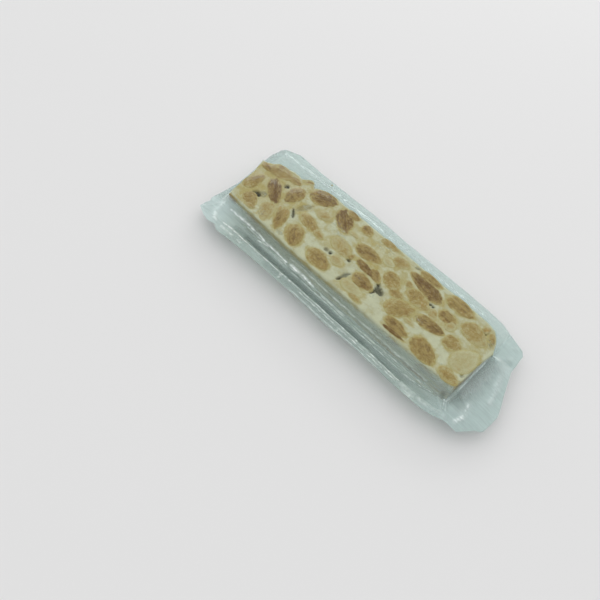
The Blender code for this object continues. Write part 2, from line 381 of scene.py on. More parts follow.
class NougatNutLooks(PropertyGroup):
    rise: length_of("Rise", "How far nuts stand out of the nougat", 0.0004)
    blanched: colour_of("Blanched", "Colour of a pale nut", (0.55, 0.515, 0.305))
    toasted: colour_of("Toasted", "Colour of a tan nut", (0.41, 0.297, 0.102))
    smear: colour_of("Smear", "Colour of nougat smeared on a nut's rim", (0.50, 0.42, 0.17))
    blush: colour_of("Blush", "What the reddish patches of a nut let through", (0.98, 0.78, 0.66))
    burnt: colour_of("Burnt", "Colour of a dark nut", (0.178, 0.097, 0.030))


class NougatFilmSizes(PropertyGroup):
    thickness: length_of("Thickness", "Thickness of one film", 0.00009)
    clearance: length_of("Clearance", "Gap between film and nougat", 0.00010)
    seam_height: length_of("Seam height", "Height of the welded seam", 0.0096)
    clear: colour_of("Clear", "What one face of tight film lets through", (0.970, 0.985, 0.978))
    slack: colour_of("Slack", "What one face of slack film lets through", (0.930, 0.961, 0.951))
    # Painted shade: the tint where the film lies double and where shadow shows through it.
    doubled_and_shadowed: colour_of("Doubled and shadowed", "What one face of gathered film lets through", (0.69, 0.730, 0.718))
    haze: colour_of("Haze", "Colour of milky film", (0.66, 0.80, 0.78))
    warm: colour_of("Warm", "Colour of milky film beside the nougat", (0.68, 0.755, 0.625))
    # Painted highlight: the near-white colour along the film's creases, standing in for their shine.
    crease: colour_of("Crease", "Colour of a crease in the film", (0.93, 0.97, 0.96))


class NougatStageSettings(PropertyGroup):
    floor: colour_of("Floor", "Colour of the floor", (0.80, 0.80, 0.80))
    sky: FloatProperty(name="Sky", description="Brightness of the room", default=0.918, min=0.0)
    strip: FloatProperty(
        name="Strip", description="Power of the strip lamp", default=1.2, subtype="POWER"
    )


# ---------------------------------------------------------------------------------------------
# Node helpers


def add_node(tree, kind, **sockets):
    """A shader node with the values or links given by socket name."""
    node = tree.nodes.new(kind)
    for name, value in sockets.items():
        join(tree, value, node.inputs[name.replace("_", " ")])
    return node


def join(tree, value, socket):
    """Links an output to a socket, or sets the socket to a plain value."""
    if isinstance(value, bpy.types.NodeSocket):
        tree.links.new(value, socket)
    else:
        socket.default_value = value


def colour(value):
    return (*value, 1.0)


def ramp(tree, factor, *stops):
    """A colour ramp through (place, colour) stops. Returns its colour."""
    node = tree.nodes.new("ShaderNodeValToRGB")
    tree.links.new(factor, node.inputs["Fac"])
    elements = node.color_ramp.elements
    while len(elements) < len(stops):
        elements.new(0.5)
    for element, (place, stop) in zip(elements, stops):
        element.position = place
        element.color = colour(stop)
    return node.outputs["Color"]


def mix(tree, factor, first, second, blend="MIX"):
    """Colour mix of two colours or outputs."""
    node = tree.nodes.new("ShaderNodeMix")
    node.data_type = "RGBA"
    node.blend_type = blend
    join(tree, factor, node.inputs[0])
    for value, socket in ((first, node.inputs[6]), (second, node.inputs[7])):
        join(tree, value if isinstance(value, bpy.types.NodeSocket) else colour(value), socket)
    return node.outputs[2]


def maths(tree, operation, first, second=0.0, clamped=False):
    node = tree.nodes.new("ShaderNodeMath")
    node.operation = operation
    node.use_clamp = clamped
    join(tree, first, node.inputs[0])
    join(tree, second, node.inputs[1])
    return node.outputs[0]


def spread(tree, value, low, high, out_low=0.0, out_high=1.0):
    """Stretches a value from low..high to out_low..out_high, clamped and smooth."""
    node = tree.nodes.new("ShaderNodeMapRange")
    node.interpolation_type = "SMOOTHSTEP"
    join(tree, value, node.inputs["Value"])
    limits = {"From Min": low, "From Max": high, "To Min": out_low, "To Max": out_high}
    for name, number in limits.items():
        node.inputs[name].default_value = number
    return node.outputs["Result"]


def between(tree, share, low, high):
    """A share of 0 to 1 turned into a value from low to high."""
    return spread(tree, share, 0.0, 1.0, low, high)


def attribute(tree, name, output="Fac"):
    node = tree.nodes.new("ShaderNodeAttribute")
    node.attribute_name = name
    return node.outputs[output]


def place_scaled(tree, scale):
    """Object coordinates stretched by scale on each axis."""
    spot = tree.nodes.new("ShaderNodeTexCoord")
    mapping = tree.nodes.new("ShaderNodeMapping")
    mapping.inputs["Scale"].default_value = scale
    tree.links.new(spot.outputs["Object"], mapping.inputs["Vector"])
    return mapping.outputs["Vector"]


def new_group(name, inputs, outputs):
    """An empty shader node group. Returns (group, input node, output node)."""
    group = bpy.data.node_groups.new(name, "ShaderNodeTree")
    for label, kind, default in inputs:
        socket = group.interface.new_socket(name=label, in_out="INPUT", socket_type=kind)
        if default is not None:
            socket.default_value = default
    for label, kind in outputs:
        group.interface.new_socket(name=label, in_out="OUTPUT", socket_type=kind)
    return group, group.nodes.new("NodeGroupInput"), group.nodes.new("NodeGroupOutput")


def mottle_group():
    """Two sizes of soft blotches, used on nougat and nuts."""
    known = bpy.data.node_groups.get("mottle")
    if known:
        return known
    inputs = (
        ("Vector", "NodeSocketVector", None),
        ("Coarse", "NodeSocketFloat", 200.0),
        ("Fine", "NodeSocketFloat", 1200.0),
    )
    outputs = (("Blotch", "NodeSocketFloat"), ("Speck", "NodeSocketFloat"))
    group, start, end = new_group("mottle", inputs, outputs)
    for size, label, low, high in (("Coarse", "Blotch", 0.35, 0.68), ("Fine", "Speck", 0.30, 0.72)):
        cloud = add_node(
            group, "ShaderNodeTexNoise", Vector=start.outputs["Vector"], Scale=start.outputs[size],
            Detail=4.0, Roughness=0.6,
        )
        group.links.new(spread(group, cloud.outputs["Fac"], low, high), end.inputs[label])
    return group


def placed_group(tree, group, **sockets):
    node = tree.nodes.new("ShaderNodeGroup")
    node.node_tree = group
    for name, value in sockets.items():
        join(tree, value, node.inputs[name])
    return node


def new_material(name):
    """A material with an empty tree and an output. Returns (material, tree, surface socket)."""
    material = bpy.data.materials.new(name)
    material.use_nodes = True
    tree = material.node_tree
    tree.nodes.clear()
    output = tree.nodes.new("ShaderNodeOutputMaterial")
    return material, tree, output.inputs["Surface"]


# ---------------------------------------------------------------------------------------------
# Materials


def nougat_material(sizes):
    """Cream nougat: blotchy, yellow beside the nuts, with painted shade in its hollows, dull and finely
    porous.
    """
    material, tree, surface = new_material("nougat")
    spot = place_scaled(tree, (1.0, 1.0, 1.0))
    blots = placed_group(tree, mottle_group(), Vector=spot, Coarse=190.0, Fine=1000.0)
    cream = mix(tree, blots.outputs["Blotch"], tuple(sizes.cream), tuple(c * 0.86 for c in sizes.cream))
    soak = maths(tree, "ADD", attribute(tree, "stain"), between(tree, blots.outputs["Blotch"], -0.30, 0.30))
    soak = maths(tree, "ADD", soak, between(tree, blots.outputs["Speck"], -0.14, 0.14), clamped=True)
    body = mix(tree, soak, cream, tuple(sizes.stain))
    uneven = between(tree, blots.outputs["Speck"], 0.8, 1.1)
    # Painted shade: hollows are darkened towards the shade colour.
    hollow = maths(tree, "MULTIPLY", attribute(tree, "painted_shade"), uneven)
    body = mix(tree, maths(tree, "MINIMUM", hollow, 1.0), body, PAINTED_SHADE_COLOUR)
    pores = add_node(tree, "ShaderNodeTexNoise", Vector=spot, Scale=2600.0, Detail=3.0)
    bump = add_node(tree, "ShaderNodeBump", Strength=0.35, Distance=0.0002, Height=pores.outputs["Fac"])
    shader = add_node(
        tree, "ShaderNodeBsdfPrincipled", Base_Color=body, Normal=bump.outputs["Normal"],
        Specular_IOR_Level=0.15,
    )
    rough = between(tree, blots.outputs["Speck"], 0.52, 0.72)
    tree.links.new(rough, shader.inputs["Roughness"])
    tree.links.new(shader.outputs["BSDF"], surface)
    return material


def nut_material(looks):
    """Almond: its darkness comes from the nut itself, with a lighter rim and long streaks."""
    material, tree, surface = new_material("almond")
    grain = attribute(tree, "grain", "Vector")
    spot = place_scaled(tree, (1.0, 1.0, 1.0))
    streaks = placed_group(tree, mottle_group(), Vector=grain, Coarse=0.55, Fine=2.6)
    blots = placed_group(tree, mottle_group(), Vector=spot, Coarse=420.0, Fine=1300.0)
    shade = attribute(tree, "darkness")
    streaky = spread(tree, shade, 0.2, 0.7, 0.25, 1.2)
    blotchy = spread(tree, shade, 0.15, 0.5, 0.4, 1.0)
    for source, label, reach in (
        (streaks, "Blotch", 0.11),
        (streaks, "Speck", 0.06),
        (blots, "Blotch", 0.11),
        (blots, "Speck", 0.10),
    ):
        change = between(tree, source.outputs[label], -reach, reach)
        change = maths(tree, "MULTIPLY", change, streaky if source is streaks else blotchy)
        shade = maths(tree, "ADD", shade, change)
    core = attribute(tree, "core")
    shade = maths(tree, "ADD", shade, spread(tree, core, 0.0, 0.7, -0.12, 0.05))
    shade = maths(tree, "ADD", shade, maths(tree, "MULTIPLY", attribute(tree, "crack"), 0.45), clamped=True)
    toasted = tuple(looks.toasted)
    middle = tuple(0.55 * a + 0.45 * b for a, b in zip(toasted, looks.burnt))
    pale, dark = tuple(looks.blanched), tuple(looks.burnt)
    body = ramp(tree, shade, (0.0, pale), (0.42, toasted), (0.70, middle), (1.0, dark))
    blush = add_node(tree, "ShaderNodeTexNoise", Vector=spot, Scale=260.0, Detail=5.0, Roughness=0.65)
    reddish = spread(tree, blush.outputs["Fac"], 0.52, 0.72, 0.0, 0.55)
    body = mix(tree, reddish, body, tuple(looks.blush), "MULTIPLY")
    ragged = maths(tree, "ADD", core, between(tree, blots.outputs["Blotch"], -0.06, 0.06))
    body = mix(tree, spread(tree, ragged, 0.03, 0.20, 0.75, 0.0), body, tuple(looks.smear))
    bump = add_node(tree, "ShaderNodeBump", Strength=0.5, Distance=0.0003, Height=streaks.outputs["Speck"])
    shader = add_node(
        tree, "ShaderNodeBsdfPrincipled", Base_Color=body, Normal=bump.outputs["Normal"],
        Specular_IOR_Level=0.2,
    )
    tree.links.new(between(tree, blots.outputs["Blotch"], 0.42, 0.60), shader.inputs["Roughness"])
    tree.links.new(shader.outputs["BSDF"], surface)
    return material


def film_material(sizes):
    """Clear film: tinted see-through, darker with painted shade where it lies double, milky where it is
    slack, with painted highlights along creases, and a gloss.
    """
    material, tree, surface = new_material("clear_film")
    slack = attribute(tree, "slack")
    tint = mix(tree, slack, tuple(sizes.clear), tuple(sizes.slack))
    # Painted shade: the tint darkens where the shade attribute is set.
    tint = mix(tree, attribute(tree, "shade"), tint, tuple(sizes.doubled_and_shadowed))
    clear = add_node(tree, "ShaderNodeBsdfTransparent", Color=tint)
    streaks = add_node(
        tree, "ShaderNodeTexNoise", Vector=place_scaled(tree, (90.0, 1500.0, 700.0)), Scale=1.0, Detail=3.0
    )
    crumple = add_node(
        tree, "ShaderNodeTexNoise", Vector=place_scaled(tree, (500.0, 1100.0, 500.0)), Scale=1.0, Detail=4.0
    )
    glints = add_node(
        tree, "ShaderNodeTexNoise", Vector=place_scaled(tree, (400.0, 900.0, 500.0)), Scale=1.0, Detail=3.0
    )
    broken = spread(tree, glints.outputs["Fac"], 0.38, 0.58, 0.5, 1.25)
    # Painted highlight along the creases, broken up by noise.
    crease = maths(tree, "MINIMUM", maths(tree, "MULTIPLY", attribute(tree, "painted_highlight"), broken), 1.0)
    brushed = spread(tree, streaks.outputs["Fac"], 0.35, 0.65, 0.9, 1.1)
    haze = maths(tree, "MULTIPLY", attribute(tree, "milk"), brushed)
    crumpled = spread(tree, crumple.outputs["Fac"], 0.45, 0.70, 0.0, 0.14)
    pocket = maths(tree, "MULTIPLY", attribute(tree, "air"), crumpled)
    milky = maths(tree, "ADD", maths(tree, "ADD", haze, pocket), LEAST_HAZE)
    milky = maths(tree, "ADD", milky, crease, clamped=True)
    rise = spread(tree, attribute(tree, "painted_highlight"), 0.0, 0.6, 0.06, 0.8)
    height = maths(tree, "MULTIPLY", streaks.outputs["Fac"], rise)
    bump = add_node(tree, "ShaderNodeBump", Strength=0.5, Distance=0.0003, Height=height)
    pale = mix(tree, attribute(tree, "warm"), tuple(sizes.haze), tuple(sizes.warm))
    # Painted highlight: creases turn the milk near white.
    pale = mix(tree, crease, pale, tuple(sizes.crease))
    milk = add_node(
        tree, "ShaderNodeBsdfPrincipled", Base_Color=pale, Roughness=0.4, Normal=bump.outputs["Normal"]
    )
    hazy = add_node(tree, "ShaderNodeMixShader")
    join(tree, milky, hazy.inputs[0])
    tree.links.new(clear.outputs[0], hazy.inputs[1])
    tree.links.new(milk.outputs[0], hazy.inputs[2])
    gloss = add_node(
        tree, "ShaderNodeBsdfGlossy", Color=colour((1.0, 1.0, 1.0)), Roughness=0.16,
        Normal=bump.outputs["Normal"],
    )
    fresnel = add_node(tree, "ShaderNodeFresnel", IOR=1.45, Normal=bump.outputs["Normal"])
    film = add_node(tree, "ShaderNodeMixShader")
    mirror = maths(tree, "MULTIPLY", fresnel.outputs[0], between(tree, slack, 0.10, 0.6))
    tree.links.new(mirror, film.inputs[0])
    tree.links.new(hazy.outputs[0], film.inputs[1])
    tree.links.new(gloss.outputs[0], film.inputs[2])
    tree.links.new(film.outputs[0], surface)
    return material


def floor_material(settings):
    material, tree, surface = new_material("pale_floor")
    shader = add_node(tree, "ShaderNodeBsdfPrincipled", Base_Color=colour(settings.floor), Roughness=0.9)
    tree.links.new(shader.outputs["BSDF"], surface)
    return material


# ---------------------------------------------------------------------------------------------
# Shared shaping


def finish_piece(name, bm, material):
    """Makes an object of the mesh, in metres and in its place, and ties it to the root body."""
    bmesh.ops.transform(bm, matrix=Matrix.Translation(MIDDLE) @ Matrix.Scale(MM, 4), verts=bm.verts)
    mesh = bpy.data.meshes.new(name)
    bm.to_mesh(mesh)
    bm.free()
    mesh.materials.append(material)
    mesh.shade_smooth()
    piece = bpy.data.objects.new(name, mesh)
    bpy.context.scene.collection.objects.link(piece)
    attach(piece, BODY)
    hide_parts(NODE)
    return piece


class Slab:
    """The slab's sizes in millimetres, and where its faces lie."""

    def __init__(self, sizes):
        self.half = Vector((sizes.length / MM / 2, sizes.width / MM / 2))
        self.base = BASE_GAP
        self.top = self.base + sizes.height / MM
        self.edge = sizes.edge / MM
        self.cell = sizes.cell / MM

    def outline(self, x, y, height_share=1.0):
        """Where a place on the plain rectangle lies on the real slab, at a share of its height."""
        skew = 1.4 if x > 0 else -2.9
        reach = (abs(x) / self.half.x) ** 4
        across = y / self.half.y
        x += skew * across * reach
        broken = 0.45 + 0.55 * height_share
        edge = smooth_along(BACK_EDGE, x) if y > 0 else -smooth_along(FRONT_EDGE, x)
        return Vector((x, across * (self.half.y + 0.7 + (edge - self.half.y - 0.7) * broken)))

    def hold(self, place, proud):
        """Keeps a place inside the slab's sides and base, or proud of them by a little."""
        share = clamp((place.z - self.base) / (self.top - self.base), 0.0, 1.0)
        y = clamp(place.y, -self.half.y, self.half.y)
        near = self.outline(self.half.x, y, share).x + proud
        far = self.outline(-self.half.x, y, share).x - proud
        x = clamp(place.x, far, near)
        back = self.outline(x, self.half.y, share).y + proud
        front = self.outline(x, -self.half.y, share).y - proud
        return Vector((x, clamp(place.y, front, back), max(place.z, self.base - proud)))


def oval_share(x, y, oval):
    """How far out (x, y) lies in an oval (x, y, length, width, turn, ...): 1 on its rim."""
    turn = math.radians(oval[4])
    dx, dy = x - oval[0], y - oval[1]
    lengthwise = dx * math.cos(turn) + dy * math.sin(turn)
    crosswise = dy * math.cos(turn) - dx * math.sin(turn)
    return math.hypot(2 * lengthwise / oval[2], 2 * crosswise / oval[3])


# ---------------------------------------------------------------------------------------------
# Nougat


def round_edges(place, low, high, radius):
    """Pulls a point on a box's surface onto the rounded form of its edges."""
    inner = Vector([clamp(place[i], low[i] + radius, high[i] - radius) for i in range(3)])
    out = place - inner
    return inner + out.normalized() * radius if out.length > radius else place


def cut_slab(slab):
    """The plain slab cut into small faces, in its box."""
    bm = bmesh.new()
    size = (2 * slab.half.x, 2 * slab.half.y, slab.top - slab.base)
    middle = Vector((0.0, 0.0, (slab.base + slab.top) / 2))
    bmesh.ops.create_cube(bm, size=1.0, matrix=Matrix.Translation(middle) @ Matrix.Diagonal((*size, 1.0)))
    for axis, span in enumerate(size):
        edges = [e for e in bm.edges if abs((e.verts[0].co - e.verts[1].co)[axis]) > span / 2]
        cell = slab.cell if axis < 2 else slab.cell * 1.4
        bmesh.ops.subdivide_edges(bm, edges=edges, cuts=round(span / cell) - 1, use_grid_fill=True)
    return bm


def hollow_depth(x, y):
    """(depth, darkness of the painted shade) of the deepest hollow at (x, y) in the slab's top."""
    depth, dark = 0.0, 0.0
    for oval in HOLLOWS:
        if abs(x - oval[0]) < oval[2] and abs(y - oval[1]) < oval[2]:
            out = oval_share(x, y, oval) + 0.22 * wander((x, y, 0.0), 1.6, 5.0)
            if out < 1:
                depth = max(depth, oval[5] * math.sqrt(1 - max(out, 0.0) ** 2))
                dark = max(dark, oval[6] * ease(0.0, 0.18, 1 - out))
    return depth, dark


def honey_share(x, y):
    """How much honey has soaked the nougat at (x, y)."""
    share = 0.0
    for oval in HONEY:
        share = max(share, oval[5] * (1 - ease(0.45, 1.1, oval_share(x, y, oval))))
    return share


def nut_stain(x, y, nuts):
    """1 beside and under the nuts, 0 a few millimetres away."""
    nearest = FAR_FROM_NUTS
    for nut in nuts:
        if abs(x - nut[0]) < nut[2] and abs(y - nut[1]) < nut[2]:
            nearest = min(nearest, (oval_share(x, y, nut) - 1) * (nut[2] + nut[3]) / 4)
    return 1 - ease(0.0, 2.2, nearest)


def add_nougat(slab, material):
    bm = cut_slab(slab)
    painted_shade = bm.verts.layers.float.new("painted_shade")
    stain = bm.verts.layers.float.new("stain")
    low = Vector((-slab.half.x, -slab.half.y, slab.base))
    high = Vector((slab.half.x, slab.half.y, slab.top))
    nuts = [nut for kind in NUT_KINDS.values() for nut in kind]
    for v in bm.verts:
        flat = v.co.copy()
        on_top = flat.z > slab.top - 0.01
        place = round_edges(flat, low, high, slab.edge)
        share = (flat.z - slab.base) / (slab.top - slab.base)
        spot = slab.outline(place.x, place.y, share)
        rough = 0.16 * wander((*spot, flat.z), 3.2) + 0.08 * wander((*spot, flat.z), 0.9, 3.0)
        broken = ease(-40.0, -60.0, spot.x) * ease(8.0, 14.0, spot.y)
        rough += broken * (0.6 * wander((*spot, flat.z), 2.4, 9.0))
        out = Vector((flat.x / slab.half.x, flat.y / slab.half.y))
        if abs(out.x) > 0.9999:
            spot.x += math.copysign(rough, out.x)
        if abs(out.y) > 0.9999:
            spot.y += math.copysign(rough, out.y)
        z = place.z
        if on_top:
            depth, v[painted_shade] = hollow_depth(spot.x, spot.y)
            v[stain] = max(0.75 * nut_stain(spot.x, spot.y, nuts), honey_share(spot.x, spot.y))
            # Left cream along the long edges: partly the nougat's own rim, partly a painted highlight where
            # the edge rounds over.
            v[stain] *= 1 - 0.9 * ease(0.955, 0.975, abs(out.y))
            z += rough - depth
        else:
            v[stain] = (0.22 + 0.3 * wander((*spot, z), 6.0, 2.0)) * (1 - ease(17.9, 18.4, z))
            band = ease(12.8, 15.8, z) * (1 - ease(17.8, 18.4, z)) * (1 - ease(-30.0, 60.0, spot.x))
            band *= 1.0 if flat.y < 0 else 0.4
            v[stain] += 0.8 * band
            # Painted shade: dark patches in the side's upper band, in the hollows' shade colour.
            v[painted_shade] = 0.10 * band * ease(-0.6, 0.5, wander((*spot, z), 7.0, 8.0))
        v.co = (spot.x, spot.y, z)
    return finish_piece("nougat_slab", bm, material)


# ---------------------------------------------------------------------------------------------
# Nuts


def start_nuts():
    """An empty mesh with the attributes that the almond material reads."""
    bm = bmesh.new()
    layers = {
        "grain": bm.verts.layers.float_vector.new("grain"),
        "darkness": bm.verts.layers.float.new("darkness"),
        "core": bm.verts.layers.float.new("core"),
        "crack": bm.verts.layers.float.new("crack"),
    }
    return bm, layers


def almond_form(unit, oval, depth, rough, seed):
    """Point of an almond lying flat, for a point on the unit sphere. It tapers towards +X."""
    taper = 1 - 0.20 * unit.x
    ripple = 1 + 0.02 * math.sin(9 * math.atan2(unit.y, unit.x)) * rough
    lump = 1 + (0.04 + 0.08 * rough) * wander(unit, 0.8, seed)
    x = unit.x * oval[2] / 2 * (1 + 0.05 * unit.x) * ripple
    y = unit.y * oval[3] / 2 * taper
    return Vector((x, y, unit.z * depth)) * lump


def crack_share(place, rough, seed):
    """1 along the crack in a rough nut's upper face, 0 away from it."""
    bend = 0.8 * wander((place.x, 0.0, seed), 6.0, seed) + 0.3 * wander((place.x, 0.0, seed), 1.5, seed)
    width = 0.35 + 0.45 * rough * (0.5 + 0.5 * wander((place.x, 5.0, seed), 3.0, seed))
    return math.exp(-(((place.y - bend) / width) ** 2)) * ease(0.35, 0.9, rough)


def wrinkle_depth(place, rough, seed):
    """Long wrinkles in a rough nut's upper face, in millimetres."""
    bend = 0.8 * wander((place.x, 0.0, seed), 6.0, seed)
    waves = 0.5 + 0.5 * math.sin(2.6 * (place.y + bend) + seed)
    return 0.14 * rough * waves


def add_nut(bm, layers, oval, slab, facing, rise, seed, fine):
    """One nut set into a face of the slab. facing turns +Z to the way that the face looks."""
    x, y, length, width, turn, darkness, rough = oval
    oval = (x, y, 1.07 * length, 1.07 * width)
    rng = random.Random(seed)
    depth = max(2.4, 0.36 * width)
    sunk = 0.25 * depth
    segments, rings = (34, 20) if fine else (20, 12)
    made = bmesh.ops.create_uvsphere(bm, u_segments=segments, v_segments=rings, radius=1.0)["verts"]
    spin = Matrix.Rotation(math.radians(turn), 3, "Z")
    flip = -1 if rng.random() < 0.5 else 1
    offset = Vector((rng.uniform(-50, 50), rng.uniform(-50, 50), 0.0))
    for v in made:
        unit = Vector((v.co.x * flip, v.co.y * flip, v.co.z))
        local = almond_form(unit, oval, depth, rough, seed * 0.37)
        v[layers["grain"]] = Vector((local.x * 0.28, local.y, local.z)) + offset
        v[layers["darkness"]] = darkness + 0.07 * v.co.x
        v[layers["core"]] = 1 - math.hypot(unit.x, unit.y) if unit.z > 0 else 0.0
        height = local.z - sunk
        inner = ease(0.0, 0.3, v[layers["core"]])
        v[layers["crack"]] = inner * crack_share(local, rough, seed * 0.37)
        if height > 0:
            height *= rise / (depth - sunk)
            height -= inner * (wrinkle_depth(local, rough, seed * 0.37) + 0.15 * v[layers["crack"]])
        local.z = height
        v.co = facing @ (spin @ local + Vector((x, y, 0.0)))
    for v in made:
        v.co = slab.hold(v.co, SMALLEST_PROUD + PROUD_STEP * (seed % PROUD_STEPS))


def face_matrix(slab, name):
    """Turns a face's own (along, across, out) into slab coordinates."""
    middle = (slab.base + slab.top) / 2
    frames = {
        "top": ((1, 0, 0), (0, 1, 0), (0, 0, 1), (0, 0, slab.top)),
        "base": ((1, 0, 0), (0, -1, 0), (0, 0, -1), (0, 0, slab.base)),
        "front": ((1, 0, 0), (0, 0, 1), (0, -1, 0), (0, -slab.half.y - 0.8, middle)),
        "back": ((-1, 0, 0), (0, 0, 1), (0, 1, 0), (0, slab.half.y + 0.6, middle)),
        "near": ((0, 1, 0), (0, 0, 1), (1, 0, 0), (slab.half.x, 0, middle)),
        "far": ((0, -1, 0), (0, 0, 1), (-1, 0, 0), (-slab.half.x, 0, middle)),
    }
    along_axis, across, out, origin = (Vector(p) for p in frames[name])
    matrix = Matrix((along_axis, across, out)).transposed().to_4x4()
    return Matrix.Translation(origin) @ matrix


def scattered(half_long, half_across, spacing, tries, rng):
    """Places on a face with at least spacing between them, an oval of room for each nut."""
    places = []
    for _ in range(tries):
        spot = Vector((rng.uniform(-half_long, half_long), rng.uniform(-half_across, half_across)))
        if all(math.hypot((spot.x - p.x) / 1.5, spot.y - p.y) > spacing for p in places):
            places.append(spot)
    return places


def add_nuts(slab, rise, material):
    """Every nut that shows on a face of the slab, one piece for each kind."""
    meshes = {kind: start_nuts() for kind in NUT_KINDS}
    seed = 1
    for kind, nuts in NUT_KINDS.items():
        for nut in nuts:
            lift = rise * (0.6 + 0.8 * random.Random(seed).random())
            add_nut(*meshes[kind], nut, slab, face_matrix(slab, "top"), lift, seed, fine=True)
            seed += 1
    rng = random.Random(41)
    faces = (
        ("base", slab.half.x - 4, slab.half.y - 3, 8.6),
        ("front", slab.half.x - 3, 4.6, 7.0),
        ("back", slab.half.x - 3, 4.6, 7.0),
        ("near", slab.half.y - 3, 4.6, 7.0),
        ("far", slab.half.y - 3, 4.6, 7.0),
    )
    for name, half_long, half_across, spacing in faces:
        for spot in scattered(half_long, half_across, spacing, 4000, rng):
            kind = rng.choices(("tan", "brown", "dark", "pale"), (5, 4, 1.2, 2))[0]
            darkness = rng.choice(NUT_KINDS[kind])[5]
            length, width = rng.uniform(10, 17), rng.uniform(6, 9.5)
            turn = rng.uniform(-90, 90) if name == "base" else rng.uniform(-25, 25)
            if name != "base":
                width = min(width, 2 * (8.3 - abs(spot.y)))
            oval = (spot.x, spot.y, length, width, turn, darkness, rng.uniform(0.1, 0.7))
            add_nut(*meshes[kind], oval, slab, face_matrix(slab, name), SIDE_RISE, seed, fine=False)
            seed += 1
    names = {"tan": "tan_almonds", "brown": "brown_almonds", "dark": "dark_almonds", "pale": "pale_almonds"}
    return [finish_piece(names[kind], meshes[kind][0], material) for kind in NUT_KINDS]


# ---------------------------------------------------------------------------------------------
# Film


def sheet_lines(half):
    """The film's grid lines on one axis, as (place on the slab, share of the way out)."""
    cells = round(2 * half / FILM_CELL)
    outward = [(k / FLAP_CELLS) ** FLAP_CROWDING for k in range(1, FLAP_CELLS + 1)]
    lines = [(-half, share) for share in reversed(outward)]
    lines += [(half * (2 * k / cells - 1), 0.0) for k in range(cells + 1)]
    return lines + [(half, share) for share in outward]


def gap_to(place, start, end):
    """Distance from a place to the straight line between two points."""
    run = end - start
    share = clamp((place - start).dot(run) / run.dot(run), 0.0, 1.0)
    return (place - start - run * share).length


class Line:
    """A crease or a line of painted shade: its values, its points and the box that it can reach."""

    def __init__(self, row, values):
        self.values = row[:values]
        self.half = row[1]
        self.points = [Vector(point) for point in row[values:]]
        reach = 2.4 * self.half
        self.low = Vector((min(p.x for p in self.points) - reach, min(p.y for p in self.points) - reach))
        self.high = Vector((max(p.x for p in self.points) + reach, max(p.y for p in self.points) + reach))

    def share(self, place, power=2):
        """1 on the line, falling to 0 beside it. A higher power makes it flatter and crisper."""
        if not (self.low.x < place.x < self.high.x and self.low.y < place.y < self.high.y):
            return 0.0
        gap = min(gap_to(place, p, q) for p, q in zip(self.points, self.points[1:]))
        return math.exp(-((gap / self.half) ** power))


